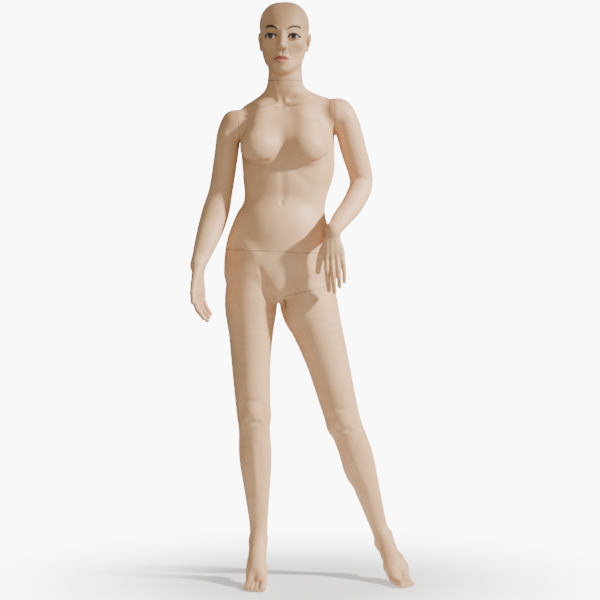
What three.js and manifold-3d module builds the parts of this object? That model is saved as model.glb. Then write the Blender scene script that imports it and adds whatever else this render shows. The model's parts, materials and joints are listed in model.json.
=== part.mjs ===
// Full body female display mannequin in high-heel stance, life size.
// Six hollow plastic shells and two solid hands meet at flat seams; steel studs and pegs in flanged
// sockets hold them together.
// Millimetres. X is the figure's left, Y its back, Z up. Shapes are laid out from the floor, and the
// whole figure is then moved so that the mouth of the base-rod socket in the right heel is the origin.
import * as THREE from "three";
import { mergeVertices } from "three/addons/utils/BufferGeometryUtils.js";
import Module from "manifold-3d";

const wasm = await Module();
wasm.setup();

// ---- driving dimensions ----
const WALL = 4; // shell thickness
const GAP = 0.3; // clearance between touching pieces
const DISC = 6; // closing disc thickness
const DISC_SET_BACK = 1; // from a seam plane to a closing disc's face
const HEEL_SOCKET = new THREE.Vector3(-126, 50, 74); // mouth of the base-rod socket
const HEEL_SOCKET_BORE = 6.5;
const HEEL_SOCKET_WALL = 2;
const HEEL_SOCKET_DEPTH = 62; // bore, below a closed top
const DOWEL = 4; // radius of the pin that stops the left leg turning
const DOWEL_OFFSET = 48; // from the leg stud to the dowel
const COLLAR = 4; // how far the collar of a stud stands out
const PEG_TOP = 14; // how far a wrist peg reaches into its hand
const ROUND = 16; // sides of a turned piece
const SMALL_ROUND = 8; // sides of a screw or a pin
const SOCKET_WALL = 2;
const SOCKET_SPARE = 4; // how far a socket runs on below its stud
const FLANGE = 3; // flange thickness
const SCREW = { shank: 2, head: 4, headHeight: 2.5, bite: 4 }; // bite: how far it goes into its disc
const WASHER = { rim: 7, thickness: 1.6 }; // rim: how far it reaches out from the stud
const NUT = { rim: 5, height: 7 };
const THREAD = 9; // how far a stud runs on past its washer
const CHAMFER = { across: 1.5, along: 4 }; // at the foot of a stud
const CUT = 700; // side of a block that cuts a whole seam, wider than any section
const SHOULDER_CUT = { side: 116, reach: 120 }; // small enough to spare the chest and the neck

// Each seam: a point on it, and the normal that points into the piece that comes off.
const SEAMS = {
  neck: { at: [-46, 2, 1505], normal: [0, 0, 1] },
  waist: { at: [-59, 8, 996], normal: [0.0436, 0, 0.999] },
  left_leg: { at: [22, 4, 880], normal: [0.235, 0, -0.972] },
  left_shoulder: { at: [103.5, 4, 1407], normal: [1, 0, 0] },
  right_shoulder: { at: [-182.5, 4, 1368], normal: [-0.996, 0, -0.087] },
  left_wrist: { at: [98.5, -128, 1056], normal: [-0.2, -0.55, -0.81] },
  right_wrist: { at: [-306, -84, 952], normal: [-0.2, -0.4, -0.894] },
};

// Each fitting: stud radius, how deep the stud sits in its socket, flange radius, number of flange screws.
const FITTINGS = {
  neck: { stud: 8, depth: 45, flange: 26, screws: 2 },
  waist: { stud: 14, depth: 60, flange: 42, screws: 3 },
  left_leg: { stud: 12, depth: 55, flange: 34, screws: 2 },
  left_shoulder: { stud: 8, depth: 40, flange: 24, screws: 2 },
  right_shoulder: { stud: 8, depth: 40, flange: 24, screws: 2 },
  left_wrist: { stud: 4, depth: 14, flange: 8, screws: 0 },
  right_wrist: { stud: 4, depth: 14, flange: 8, screws: 0 },
};

// A body part is drawn through sections at a few landmarks: x, y, z of the section's middle, then its
// half width, its depth to the front and its depth to the back. The surface is smooth between them.
const TORSO = [
  [-58, 4, 950, 168, 92, 112], // hips, cut off at the waist seam
  [-60, 4, 1030, 156, 90, 92], // top of the hips
  [-50, 4, 1105, 128, 76, 78], // flank
  [-43, 4, 1155, 120, 73, 74], // waist
  [-38, 4, 1240, 133, 83, 87], // ribs
  [-41, 6, 1345, 143, 76, 88], // armpits
  [-40, 8, 1395, 148, 62, 80], // shoulder blades
  [-26, 11, 1435, 130, 48, 60], // slope to the shoulders
  [-28, 11, 1458, 96, 45, 51], // ridge beside the neck
  [-44, 8, 1482, 60, 48, 50], // root of the neck
  [-46, 2, 1520, 51, 49, 50], // neck
];
const PELVIS = [
  [-60, 4, 1030, 156, 90, 92],
  [-57, 4, 950, 169, 92, 113], // widest
  [-58, 8, 885, 165, 84, 108], // seat
  [-62, 12, 848, 60, 36, 46], // crotch
];
const RIGHT_LEG = [
  [-138, 6, 930, 82, 84, 102], // inside the pelvis
  [-149, 5, 840, 75, 83, 90], // thigh
  [-148, 0, 670, 55, 68, 63], // mid thigh
  [-141, -4, 525, 48, 56, 51], // above the knee
  [-138, 1, 462, 45, 49, 47], // knee
  [-134, 9, 380, 46, 46, 54], // calf
  [-130, 16, 275, 34, 37, 35], // below the calf
  [-125, 24, 170, 25, 28, 26], // ankle
  [-126, 8, 108, 29, 30, 26], // instep
  [-130, -50, 48, 33, 21, 26], // arch
  [-133, -92, 20, 33, 16, 24], // ball
  [-131, -137, 12, 19, 7, 12], // toes
];
const LEFT_LEG = [
  [10, 6, 930, 80, 84, 96],
  [29, 6, 840, 79, 83, 90],
  [78, 10, 670, 61, 67, 63],
  [117, 19, 525, 51, 55, 50],
  [140, 29, 462, 46, 49, 48],
  [169, 46, 380, 46, 46, 54],
  [202, 70, 275, 35, 36, 34],
  [234, 88, 170, 25, 28, 26],
  [256, 72, 110, 29, 30, 26],
  [281, 18, 50, 33, 21, 26],
  [297, -22, 22, 33, 16, 22],
  [310, -63, 12, 19, 7, 12],
];
const LEFT_ARM = [
  [112, 4, 1440, 12, 16, 16], // top of the shoulder
  [137, 5, 1392, 38, 44, 46], // shoulder muscle
  [158, 17, 1312, 36, 39, 39], // upper arm
  [181, 42, 1212, 32, 32, 34], // elbow
  [160, -8, 1146, 29, 30, 31], // forearm
  [124, -78, 1092, 25, 24, 25],
  [98.5, -128, 1056, 20, 17, 18], // wrist
  [92, -140, 1048, 19, 16, 17], // cut off at the wrist seam
];
const RIGHT_ARM = [
  [-194, 4, 1402, 12, 16, 16],
  [-211, 4, 1350, 37, 42, 44],
  [-221, 7, 1285, 34, 39, 39],
  [-238, 18, 1184, 33, 35, 36],
  [-255, 8, 1112, 38, 36, 38],
  [-276, -28, 1040, 32, 31, 32],
  [-306, -84, 952, 21, 18, 20],
  [-310, -92, 940, 20, 17, 19],
];
const HEAD = [
  [-46, 2, 1490, 52, 49, 50], // neck, cut off at the neck seam
  [-46, 0, 1532, 50, 52, 48], // throat
  [-47, -2, 1550, 50, 82, 50], // chin
  [-48, -2, 1586, 61, 92, 66], // jaw
  [-48, 0, 1650, 72, 93, 94], // ears
  [-47, 2, 1684, 72, 91, 95], // forehead
  [-48, 6, 1726, 50, 62, 66],
  [-48, 8, 1742, 24, 32, 34], // crown
];

const v3 = (p) => new THREE.Vector3(...p);

// ---- solids ----
const WELD = 1e-3; // points closer than this are one point

function welded(geometry) {
  const bare = geometry.clone();
  bare.deleteAttribute("normal");
  bare.deleteAttribute("uv");
  return mergeVertices(bare, WELD);
}

// A closed geometry as a solid that can be joined and cut.
function solid(geometry) {
  const merged = welded(geometry);
  return new wasm.Manifold(
    new wasm.Mesh({
      numProp: 3,
      vertProperties: merged.attributes.position.array,
      triVerts: new Uint32Array(merged.index.array),
    }),
  );
}

const join = (...solids) => solids.reduce((all, one) => all.add(one));

function geometryOf(made) {
  const { numProp, vertProperties, triVerts } = made.getMesh();
  const count = vertProperties.length / numProp;
  const position = new Float32Array(count * 3);
  for (let i = 0; i < count; i++) {
    position.set(vertProperties.subarray(i * numProp, i * numProp + 3), i * 3);
  }
  return new THREE.BufferGeometry()
    .setAttribute("position", new THREE.BufferAttribute(position, 3))
    .setIndex(new THREE.BufferAttribute(triVerts, 1));
}

// A smooth tube through the sections, closed at both ends by a flat fan.
function loft(sections, sides, steps, level) {
  const line = new THREE.CatmullRomCurve3(sections.map((s) => v3(s)), false, "centripetal");
  const sizes = new THREE.CatmullRomCurve3(sections.map((s) => v3(s.slice(3))), false, "catmullrom", 0.5);
  const back = new THREE.Vector3(0, 1, 0);
  const points = [];
  const rings = steps + 1;
  for (let i = 0; i < rings; i++) {
    const t = i / steps;
    const centre = line.getPoint(t);
    const [half, front, rear] = sizes.getPoint(t).toArray();
    const along = level ? new THREE.Vector3(0, 0, -1) : line.getTangent(t);
    const across = new THREE.Vector3().crossVectors(along, back).normalize();
    const deep = new THREE.Vector3().crossVectors(across, along);
    for (let k = 0; k < sides; k++) {
      const angle = (k / sides) * 2 * Math.PI;
      const depth = Math.sin(angle) < 0 ? front : rear;
      points.push(
        centre.clone()
          .addScaledVector(across, half * Math.cos(angle))
          .addScaledVector(deep, depth * Math.sin(angle)),
      );
    }
  }
  points.push(line.getPoint(0), line.getPoint(1));
  return closedTube(points, sides, rings);
}

// Faces of a tube of rings, whose last two points are the centres of its ends.
function closedTube(points, sides, rings) {
  const faces = [];
  const start = sides * rings;
  for (let k = 0; k < sides; k++) {
    const next = (k + 1) % sides;
    for (let i = 0; i < rings - 1; i++) {
      const a = i * sides;
      const b = a + sides;
      faces.push(a + k, a + next, b + next, a + k, b + next, b + k);
    }
    const last = (rings - 1) * sides;
    faces.push(start, next, k, start + 1, last + k, last + next);
  }
  const geometry = new THREE.BufferGeometry().setFromPoints(points);
  return geometry.setIndex(faces);
}

function limb(sections, sides, steps, level = false) {
  const geometry = loft(sections, sides, steps, level);
  const made = solid(geometry);
  return made.volume() < 0 ? flipped(geometry) : made;
}

// The trunk and the head have level sections; the limbs have sections square to their axis.
const trunk = (sections, sides, steps) => limb(sections, sides, steps, true);

function flipped(geometry) {
  const index = geometry.index.array;
  for (let i = 0; i < index.length; i += 3) {
    [index[i + 1], index[i + 2]] = [index[i + 2], index[i + 1]];
  }
  return solid(geometry);
}

// The same limb, smaller all round, for the hollow inside it and for the discs that close it.
const thinner = (sections, by) =>
  sections.map(([x, y, z, ...sizes]) => [x, y, z, ...sizes.map((s) => Math.max(s - by, 3))]);

function ball(centre, radii, across = 12, down = 8) {
  const geometry = new THREE.SphereGeometry(1, across, down);
  return solid(geometry.scale(...radii).translate(...centre));
}

// Turns local +Z to a seam's normal and moves the local origin to the seam.
function seamMatrix({ at, normal }) {
  const turn = new THREE.Quaternion().setFromUnitVectors(new THREE.Vector3(0, 0, 1), v3(normal).normalize());
  return new THREE.Matrix4().compose(v3(at), turn, new THREE.Vector3(1, 1, 1));
}

// A block over a seam: from low to high along the seam's normal.
function block(seam, low, high, size = CUT) {
  const geometry = new THREE.BoxGeometry(size, size, high - low);
  return solid(geometry.translate(0, 0, (low + high) / 2).applyMatrix4(seamMatrix(seam)));
}

// A turned piece on a seam's axis, from a closed profile of [radius, height] points.
function turned(seam, profile, sides = ROUND) {
  const closed = [...profile, profile[0]].map(([r, h]) => new THREE.Vector2(r, h));
  const geometry = new THREE.LatheGeometry(closed, sides).rotateX(Math.PI / 2);
  const bare = welded(geometry.applyMatrix4(seamMatrix(seam)));
  const made = solid(bare);
  return made.volume() < 0 ? flipped(bare) : made;
}

// The radius of a hole whose flats stay clear of a round shank that turns in it.
const around = (radius, sides = ROUND) => (radius + GAP) / Math.cos(Math.PI / sides);

const rod = (seam, radius, low, high, sides = ROUND) =>
  turned(seam, [[0, low], [radius, low], [radius, high], [0, high]], sides);

// ---- outer bodies and hollows ----
const SHOULDER_BALL = { left: [108, 4, 1407], right: [-187, 4, 1368] };
const SHOULDER_RADII = [44, 50, 46];
const BREASTS = [[18, -72, 1292], [-124, -60, 1290]];
const BREAST_RADII = [58, 62, 52];
const HEELS = { right: [-126, 50, 100], left: [240, 104, 104] };
const HEEL_RADII = [27, 30, 40];
const grown = (radii, by) => radii.map((r) => r + by);

// The trunk with the inner halves of the shoulders.
function torsoBody(by) {
  return join(
    trunk(thinner(TORSO, by), 18, 10),
    ball(SHOULDER_BALL.left, grown(SHOULDER_RADII, -by)),
    ball(SHOULDER_BALL.right, grown(SHOULDER_RADII, -by)),
  );
}

function armBody(side, by) {
  const sections = side === "left" ? LEFT_ARM : RIGHT_ARM;
  return join(limb(thinner(sections, by), 10, 14), ball(SHOULDER_BALL[side], grown(SHOULDER_RADII, -by)));
}

// A whole leg, or its first sections only.
function legBody(side, by, count) {
  const sections = (side === "left" ? LEFT_LEG : RIGHT_LEG).slice(0, count);
  return limb(thinner(sections, by), 12, 2 * sections.length - 2);
}

// Where the seams cut, each piece stops half a gap short of the plane.
const beyond = (name, reach = CUT) => block(SEAMS[name], -GAP / 2, reach);
const before = (name, reach = CUT) => block(SEAMS[name], -reach, GAP / 2);
const { side: shoulderSide, reach: shoulderReach } = SHOULDER_CUT;
const pastShoulder = (side) => block(SEAMS[`${side}_shoulder`], -GAP / 2, shoulderReach, shoulderSide);
const withinShoulder = (side) => block(SEAMS[`${side}_shoulder`], -shoulderReach, GAP / 2, shoulderSide);
const PAST_WRIST = 60; // deep enough for the arm's end, short of the hip

const material = (color, roughness, metalness = 0) =>
  new THREE.MeshStandardMaterial({ color, roughness, metalness });
const SKIN = material(0xd6b694, 0.45);
const BOARD = material(0xc9b08c, 0.8);
const STEEL = material(0xb8bcc0, 0.35, 1);

const figure = new THREE.Group();
function piece(name, made, look) {
  const mesh = new THREE.Mesh(geometryOf(made), look);
  mesh.name = name;
  figure.add(mesh);
}

// ---- shells ----
function torsoShell() {
  const breasts = BREASTS.map((centre) => ball(centre, BREAST_RADII));
  const outer = join(torsoBody(0), ...breasts).subtract(before("waist")).subtract(beyond("neck"));
  return outer.subtract(torsoBody(WALL)).subtract(pastShoulder("left")).subtract(pastShoulder("right"));
}

function armShell(side) {
  const shell = armBody(side, 0).subtract(armBody(side, WALL));
  return shell.subtract(withinShoulder(side)).subtract(beyond(`${side}_wrist`, PAST_WRIST));
}

// Sections of a leg that its hollow reaches down to (the calf's lower end), and of a thigh alone.
const HOLLOW_LEG = 8;
const THIGH = 3;

// Everything under the floor the toes stand on.
const floorCut = () => block({ at: [0, 0, 0], normal: [0, 0, -1] }, 0, CUT, 2 * CUT);

function leftLegShell() {
  const leg = legBody("left", 0).subtract(before("left_leg"));
  const outer = join(leg, ball(HEELS.left, HEEL_RADII));
  return outer.subtract(legBody("left", WALL, HOLLOW_LEG)).subtract(floorCut());
}

// The pelvis keeps the right leg, and a stump of the left one down to its seam.
function hipsShell() {
  const stump = legBody("left", 0, THIGH).subtract(beyond("left_leg"));
  const pelvis = trunk(PELVIS, 18, 3).subtract(legRoom());
  const clear = legBody("left", -GAP, THIGH).subtract(before("left_leg"));
  const outer = join(pelvis, stump, legBody("right", 0), ball(HEELS.right, HEEL_RADII)).subtract(clear);
  const hollow = join(
    trunk(thinner(PELVIS.slice(0, -1), WALL), 18, 2),
    legBody("left", WALL, THIGH),
    legBody("right", WALL, HOLLOW_LEG),
  );
  return outer.subtract(beyond("waist")).subtract(hollow).subtract(floorCut()).subtract(heelRoom());
}

// A flat pad under the right heel, and the hole for the base-rod socket above it.
const heelPlace = { at: HEEL_SOCKET.toArray(), normal: [0, 0, 1] };
const SOCKET_OUTSIDE = HEEL_SOCKET_BORE + HEEL_SOCKET_WALL;
const SOCKET_TOP = HEEL_SOCKET_DEPTH + HEEL_SOCKET_WALL;
const HEEL_PAD = 27; // radius of the cut that leaves the pad
function heelRoom() {
  const pad = rod(heelPlace, HEEL_PAD, -HEEL_RADII[2], 0);
  return join(pad, rod(heelPlace, SOCKET_OUTSIDE + GAP, -1, SOCKET_TOP + GAP));
}

function baseRodSocket() {
  return turned(heelPlace, [
    [0, HEEL_SOCKET_DEPTH],
    [HEEL_SOCKET_BORE, HEEL_SOCKET_DEPTH],
    [HEEL_SOCKET_BORE, 0],
    [SOCKET_OUTSIDE, 0],
    [SOCKET_OUTSIDE, SOCKET_TOP],
    [0, SOCKET_TOP],
  ]);
}

// The dowel's place beside the leg stud, towards the figure's back.
function dowelPlace() {
  const at = v3(SEAMS.left_leg.at).add(new THREE.Vector3(0, DOWEL_OFFSET, 0));
  return { at: at.toArray(), normal: SEAMS.left_leg.normal };
}

const dowelEnd = DISC_SET_BACK + DISC;
const dowel = () => rod(dowelPlace(), DOWEL, -dowelEnd, dowelEnd, SMALL_ROUND);
const dowelHole = () => rod(dowelPlace(), DOWEL + GAP, -dowelEnd - 1, dowelEnd + 1, SMALL_ROUND);

// The room under the left leg's seam, from the crotch outwards. Local X runs to the figure's right.
const INNER_THIGH = 70; // from the middle of the seam to its inner end at the crotch
function legRoom() {
  const room = new THREE.BoxGeometry(CUT, CUT, CUT).translate(INNER_THIGH - CUT / 2, 0, (CUT - GAP) / 2);
  return solid(room.applyMatrix4(seamMatrix(SEAMS.left_leg)));
}

const NOSE = { at: [-52, -94, 1611], radii: [9, 13, 17] };
const EARS = { at: [[-121, 6, 1630], [26, 6, 1630]], radii: [6, 14, 27] };
function headShell() {
  const nose = ball(NOSE.at, NOSE.radii, 8, 6);
  const ears = EARS.at.map((at) => ball(at, EARS.radii, 8, 6));
  const outer = join(trunk(HEAD, 16, 7), nose, ...ears).subtract(before("neck"));
  return outer.subtract(trunk(thinner(HEAD.slice(0, -1), WALL), 16, 6));
}

// ---- hands ----
// A left hand hangs down -Z from its wrist, back of the hand to -Y and thumb to -X.
// A right hand has its x mirrored.
const PALM = [
  [0, 0, 2, 20, 17, 18],
  [-1, -2, -14, 21, 15, 17],
  [-1, -3, -36, 29, 13, 16],
  [1, -4, -60, 32, 11, 14],
  [3, -4, -80, 30, 9, 11],
  [4, -4, -88, 25, 6, 8],
];
// Each finger: knuckle, tip, radius at each, and how far its middle bows to the back of the hand.
const FINGERS = {
  index: { from: [-19, -3, -72], to: [-19, 6, -168], radii: [8.5, 6], bow: 6 },
  middle: { from: [-3, -5, -76], to: [-2, 6, -178], radii: [8.8, 6], bow: 7 },
  ring: { from: [12, -4, -74], to: [12, 8, -166], radii: [8.2, 5.6], bow: 7 },
  little: { from: [26, -1, -66], to: [28, 10, -142], radii: [7.2, 5], bow: 5 },
  thumb: { from: [-18, 2, -22], to: [-50, 6, -98], radii: [12, 7], bow: 2 },
};

function finger({ from, to, radii: [root, tip], bow }, mirror) {
  const a = v3(from);
  const b = v3(to);
  const at = (t, r) => {
    const p = a.clone().lerp(b, t);
    p.y -= bow * 4 * t * (1 - t);
    return [p.x * mirror, p.y, p.z, r, r, r];
  };
  const mid = (root + tip) / 2;
  return limb([at(0, root), at(0.33, mid + 0.6), at(0.66, mid), at(0.93, tip), at(1, tip * 0.45)], 6, 4);
}

function handSolid(side) {
  const mirror = side === "left" ? 1 : -1;
  const palm = PALM.map(([x, ...rest]) => [x * mirror, ...rest]);
  const fingers = Object.values(FINGERS).map((f) => finger(f, mirror));
  return join(limb(palm, 12, 5), ...fingers);
}

// Where each hand hangs: turned about the vertical, leaned, then moved to its wrist.
const HANDS = {
  left: { turn: [0.1, 0, 0], at: [99, -128, 1056] },
  right: { turn: [0, -0.12, -Math.PI / 2 - 0.1], at: [-306, -86, 956] },
};

function placedHand(side) {
  const { turn, at } = HANDS[side];
  const matrix = new THREE.Matrix4().makeRotationFromEuler(new THREE.Euler(...turn, "ZYX"));
  matrix.setPosition(...at);
  const hand = solid(geometryOf(handSolid(side)).applyMatrix4(matrix));
  const seam = SEAMS[`${side}_wrist`];
  const { stud } = FITTINGS[`${side}_wrist`];
  const hole = join(rod(seam, around(stud), -1, PEG_TOP + GAP), rod(seam, around(stud + COLLAR), -1, 1));
  return hand.subtract(before(`${side}_wrist`)).subtract(hole);
}

// ---- fittings ----
// On the fixed side of a seam a flanged socket hangs under the closing disc; the stud stands in it.
const FLANGE_TOP = -DISC_SET_BACK - DISC - GAP;
function socket(name) {
  const { stud, depth, flange } = FITTINGS[name];
  const bore = stud + GAP;
  const tube = bore + SOCKET_WALL;
  const made = turned(SEAMS[name], [
    [bore, -depth - SOCKET_SPARE],
    [tube, -depth - SOCKET_SPARE],
    [tube, FLANGE_TOP - FLANGE],
    [flange, FLANGE_TOP - FLANGE],
    [flange, FLANGE_TOP],
    [tube, FLANGE_TOP],
    [tube, -DISC_SET_BACK],
    [bore, -DISC_SET_BACK],
  ]);
  return drilled(made, name, FLANGE_TOP - FLANGE - 1, FLANGE_TOP + 1);
}

// Holes for the flange screws, from low to high along the fitting's axis.
function drilled(made, name, low, high) {
  const drill = (rest, place) => rest.subtract(rod(place, SCREW.shank + GAP, low, high, SMALL_ROUND));
  return screwPlaces(name).reduce(drill, made);
}

// Local seams at the flange screws, spread round the fitting's axis.
function screwPlaces(name) {
  const { flange, screws, stud } = FITTINGS[name];
  const circle = (flange + stud + SOCKET_WALL) / 2 + 1;
  return Array.from({ length: screws }, (_, i) => {
    const angle = (2 * Math.PI * i) / screws + Math.PI / 2;
    const offset = new THREE.Vector3(circle * Math.cos(angle), circle * Math.sin(angle), 0);
    return { at: offset.applyMatrix4(seamMatrix(SEAMS[name])).toArray(), normal: SEAMS[name].normal };
  });
}

function screw(place) {
  const seat = FLANGE_TOP - FLANGE - GAP;
  const tip = FLANGE_TOP + SCREW.bite;
  return turned(place, [
    [0, seat - SCREW.headHeight],
    [SCREW.head, seat - SCREW.headHeight],
    [SCREW.head, seat],
    [SCREW.shank, seat],
    [SCREW.shank, tip],
    [0, tip],
  ], SMALL_ROUND);
}

// The stud: a shank in the socket, a thin collar between the discs, and a threaded end that takes the nut.
function stud(name, top) {
  const { stud: r, depth } = FITTINGS[name];
  const collar = DISC_SET_BACK - GAP;
  return turned(SEAMS[name], [
    [0, -depth],
    [r - CHAMFER.across, -depth],
    [r, -depth + CHAMFER.along],
    [r, -collar],
    [r + COLLAR, -collar],
    [r + COLLAR, collar],
    [r, collar],
    [r, top],
    [0, top],
  ]);
}

const WASHER_SEAT = DISC_SET_BACK + DISC + GAP;
const WASHER_TOP = WASHER_SEAT + WASHER.thickness;
const NUT_SEAT = WASHER_TOP + GAP;

function washer(name) {
  const { stud: r } = FITTINGS[name];
  const plate = rod(SEAMS[name], r + WASHER.rim, WASHER_SEAT, WASHER_TOP);
  return plate.subtract(rod(SEAMS[name], around(r), WASHER_SEAT - 1, WASHER_TOP + 1));
}

function nut(name) {
  const { stud: r } = FITTINGS[name];
  const top = NUT_SEAT + NUT.height;
  const body = rod(SEAMS[name], r + NUT.rim, NUT_SEAT, top, 6);
  return body.subtract(rod(SEAMS[name], around(r), NUT_SEAT - 1, top + 1));
}

// A closing disc: a slice of the hollow beside a seam, with a hole for the stud or its socket.
function disc(name, hollow, fixedSide) {
  const near = DISC_SET_BACK;
  const far = DISC_SET_BACK + DISC;
  const { stud: r } = FITTINGS[name];
  const slice = fixedSide ? block(SEAMS[name], -far, -near) : block(SEAMS[name], near, far);
  const hole = around(fixedSide ? r + GAP + SOCKET_WALL : r);
  const plate = hollow.intersect(slice).subtract(rod(SEAMS[name], hole, -far - 1, far + 1));
  return fixedSide ? drilled(plate, name, -far - 1, FLANGE_TOP + SCREW.bite + GAP) : plate;
}

const FIT = WALL + GAP; // how far inside the outer surface a disc's edge lies
const torsoFit = torsoBody(FIT);
const hipsFit = trunk(thinner(PELVIS.slice(0, -1), FIT), 18, 2);

piece("torso_shell", torsoShell(), SKIN);
piece("hips_and_right_leg_shell", hipsShell(), SKIN);
piece("left_leg_shell", leftLegShell(), SKIN);
piece("head_shell", headShell(), SKIN);

piece("neck_disc", disc("neck", torsoFit, true), BOARD);
const headFit = trunk(thinner(HEAD.slice(0, -1), FIT), 16, 6);
piece("head_disc", disc("neck", headFit, false), BOARD);
piece("hip_disc", disc("waist", hipsFit, true), BOARD);
piece("torso_waist_disc", disc("waist", torsoFit, false), BOARD);
piece("left_hip_disc", disc("left_leg", legBody("left", FIT, THIGH), true).subtract(dowelHole()), BOARD);
const legFit = legBody("left", FIT, HOLLOW_LEG);
piece("left_leg_disc", disc("left_leg", legFit, false).subtract(dowelHole()), BOARD);

for (const side of ["left", "right"]) {
  piece(`${side}_arm_shell`, armShell(side), SKIN);
  piece(`${side}_hand`, placedHand(side), SKIN);
  const shoulder = `${side}_shoulder`;
  const torsoEnd = ball(SHOULDER_BALL[side], grown(SHOULDER_RADII, -FIT));
  piece(`${side}_shoulder_disc`, disc(shoulder, torsoEnd, true), BOARD);
  piece(`${side}_arm_disc`, disc(shoulder, torsoEnd, false), BOARD);
  const forearm = limb(thinner(side === "left" ? LEFT_ARM : RIGHT_ARM, FIT), 10, 14);
  piece(`${side}_forearm_disc`, disc(`${side}_wrist`, forearm, true), BOARD);
  piece(`${side}_wrist_socket`, socket(`${side}_wrist`), STEEL);
  piece(`${side}_wrist_peg`, stud(`${side}_wrist`, PEG_TOP), STEEL);
}

for (const name of ["neck", "waist", "left_leg", "left_shoulder", "right_shoulder"]) {
  piece(`${name}_socket`, socket(name), STEEL);
  piece(`${name}_stud`, stud(name, NUT_SEAT + THREAD), STEEL);
  piece(`${name}_washer`, washer(name), STEEL);
  piece(`${name}_nut`, nut(name), STEEL);
  screwPlaces(name).forEach((place, i) => piece(`${name}_screw_${i + 1}`, screw(place), STEEL));
}

piece("left_leg_dowel", dowel(), STEEL);
piece("base_rod_socket", baseRodSocket(), STEEL);

figure.position.copy(HEEL_SOCKET).negate();
export default figure;
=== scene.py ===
"""A life-size female display mannequin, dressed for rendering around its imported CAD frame.

The body is one smooth solid described by distance fields. It is meshed piece by piece. Each piece is cut at
the same seams as the CAD shells, and all but the hands are hollow. Layout is in millimetres from the floor:
X to the figure's left, Y to its back, Z up. Finished meshes are in metres from the base-rod socket's mouth.
"""

import json
import math

import bmesh
import bpy
import numpy as np
import openvdb
from mathutils import Euler, Matrix, Vector


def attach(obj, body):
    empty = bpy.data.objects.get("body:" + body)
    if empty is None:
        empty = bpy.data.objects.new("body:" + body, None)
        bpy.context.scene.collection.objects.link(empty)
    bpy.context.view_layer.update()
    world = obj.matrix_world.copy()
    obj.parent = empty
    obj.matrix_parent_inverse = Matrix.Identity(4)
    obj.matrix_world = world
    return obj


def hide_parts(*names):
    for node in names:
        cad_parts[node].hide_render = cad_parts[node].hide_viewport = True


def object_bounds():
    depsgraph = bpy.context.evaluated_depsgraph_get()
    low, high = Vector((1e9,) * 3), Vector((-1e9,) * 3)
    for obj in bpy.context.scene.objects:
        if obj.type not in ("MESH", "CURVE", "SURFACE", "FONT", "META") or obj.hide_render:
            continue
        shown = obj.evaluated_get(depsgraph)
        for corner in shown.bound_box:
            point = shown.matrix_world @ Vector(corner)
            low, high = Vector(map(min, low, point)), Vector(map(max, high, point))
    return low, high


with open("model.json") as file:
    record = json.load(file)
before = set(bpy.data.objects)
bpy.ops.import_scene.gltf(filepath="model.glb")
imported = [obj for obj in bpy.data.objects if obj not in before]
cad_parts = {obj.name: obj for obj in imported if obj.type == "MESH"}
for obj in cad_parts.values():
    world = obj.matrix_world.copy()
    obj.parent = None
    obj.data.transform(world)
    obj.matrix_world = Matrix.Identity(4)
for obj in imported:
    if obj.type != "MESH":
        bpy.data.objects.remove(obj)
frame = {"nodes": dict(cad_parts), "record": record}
cad_low, cad_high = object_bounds()

# ---- layout ----
ORIGIN = np.array([-126.0, 50.0, 74.0])  # the base-rod socket's mouth
WALL = 4.0
SEAM_GAP = 0.3  # between two shells at a seam
FINE = 1.0  # mesh spacing is multiplied by this

SEAMS = {
    "neck": ((-46, 2, 1505), (0, 0, 1)),
    "waist": ((-59, 8, 996), (0.0436, 0, 0.999)),
    "left_leg": ((22, 4, 880), (0.235, 0, -0.972)),
    "left_shoulder": ((103.5, 4, 1407), (1, 0, 0)),
    "right_shoulder": ((-182.5, 4, 1368), (-0.996, 0, -0.087)),
    "left_wrist": ((98.5, -128, 1056), (-0.2, -0.55, -0.81)),
    "right_wrist": ((-306, -84, 952), (-0.2, -0.4, -0.894)),
}

# Landmark sections: x, y, z of the middle, half width, depth to the front, depth to the back.
TRUNK = [
    (-64, 10, 853, 36, 30, 40),  # crotch
    (-60, 8, 872, 118, 66, 88),
    (-58, 6, 908, 163, 84, 106),  # seat
    (-59, 4, 950, 169, 91, 108),  # hips
    (-61, 4, 1030, 158, 88, 90),
    (-58, 4, 1105, 134, 76, 76),  # flank
    (-44, 4, 1155, 123, 71, 72),  # waist
    (-35, 4, 1240, 138, 80, 84),  # ribs
    (-39, 6, 1345, 142, 74, 86),  # armpits
    (-40, 8, 1395, 145, 60, 80),  # shoulder blades
    (-28, 11, 1432, 126, 46, 62),  # slope to the shoulders
    (-30, 11, 1456, 92, 44, 52),
    (-44, 8, 1480, 60, 47, 50),  # root of the neck
    (-44.5, 3, 1520, 49, 48, 50),
    (-45.5, 4, 1585, 48, 46, 52),  # under the jaw
]
RIGHT_LEG = [
    (-140, 6, 930, 78, 82, 98),
    (-147, 5, 840, 79, 83, 90),
    (-147, 2, 755, 67, 76, 76),
    (-147, 0, 670, 59, 68, 63),
    (-140, -4, 525, 51.5, 56, 51),
    (-137, 1, 462, 47, 49, 46),
    (-134, 9, 380, 49, 45, 56),
    (-129, 16, 275, 38, 36, 36),
    (-125, 24, 170, 27, 28, 27),
    (-126, 14, 118, 27, 30, 26),
]
LEFT_LEG = [
    (14, 6, 930, 78, 82, 94),
    (26.5, 6, 840, 86.5, 83, 90),
    (47, 8, 780, 77, 78, 80),
    (82, 10, 670, 64, 67, 63),
    (120, 19, 525, 54, 55, 50),
    (142, 29, 462, 49, 49, 47),
    (172, 46, 380, 49, 45, 56),
    (205, 70, 275, 38, 35, 35),
    (237, 88, 170, 27, 28, 27),
    (255, 80, 122, 26, 30, 26),
]
KNEES = {"right": (-140, -4, 520), "left": (130, 24, 494)}  # middle of each knee
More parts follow.
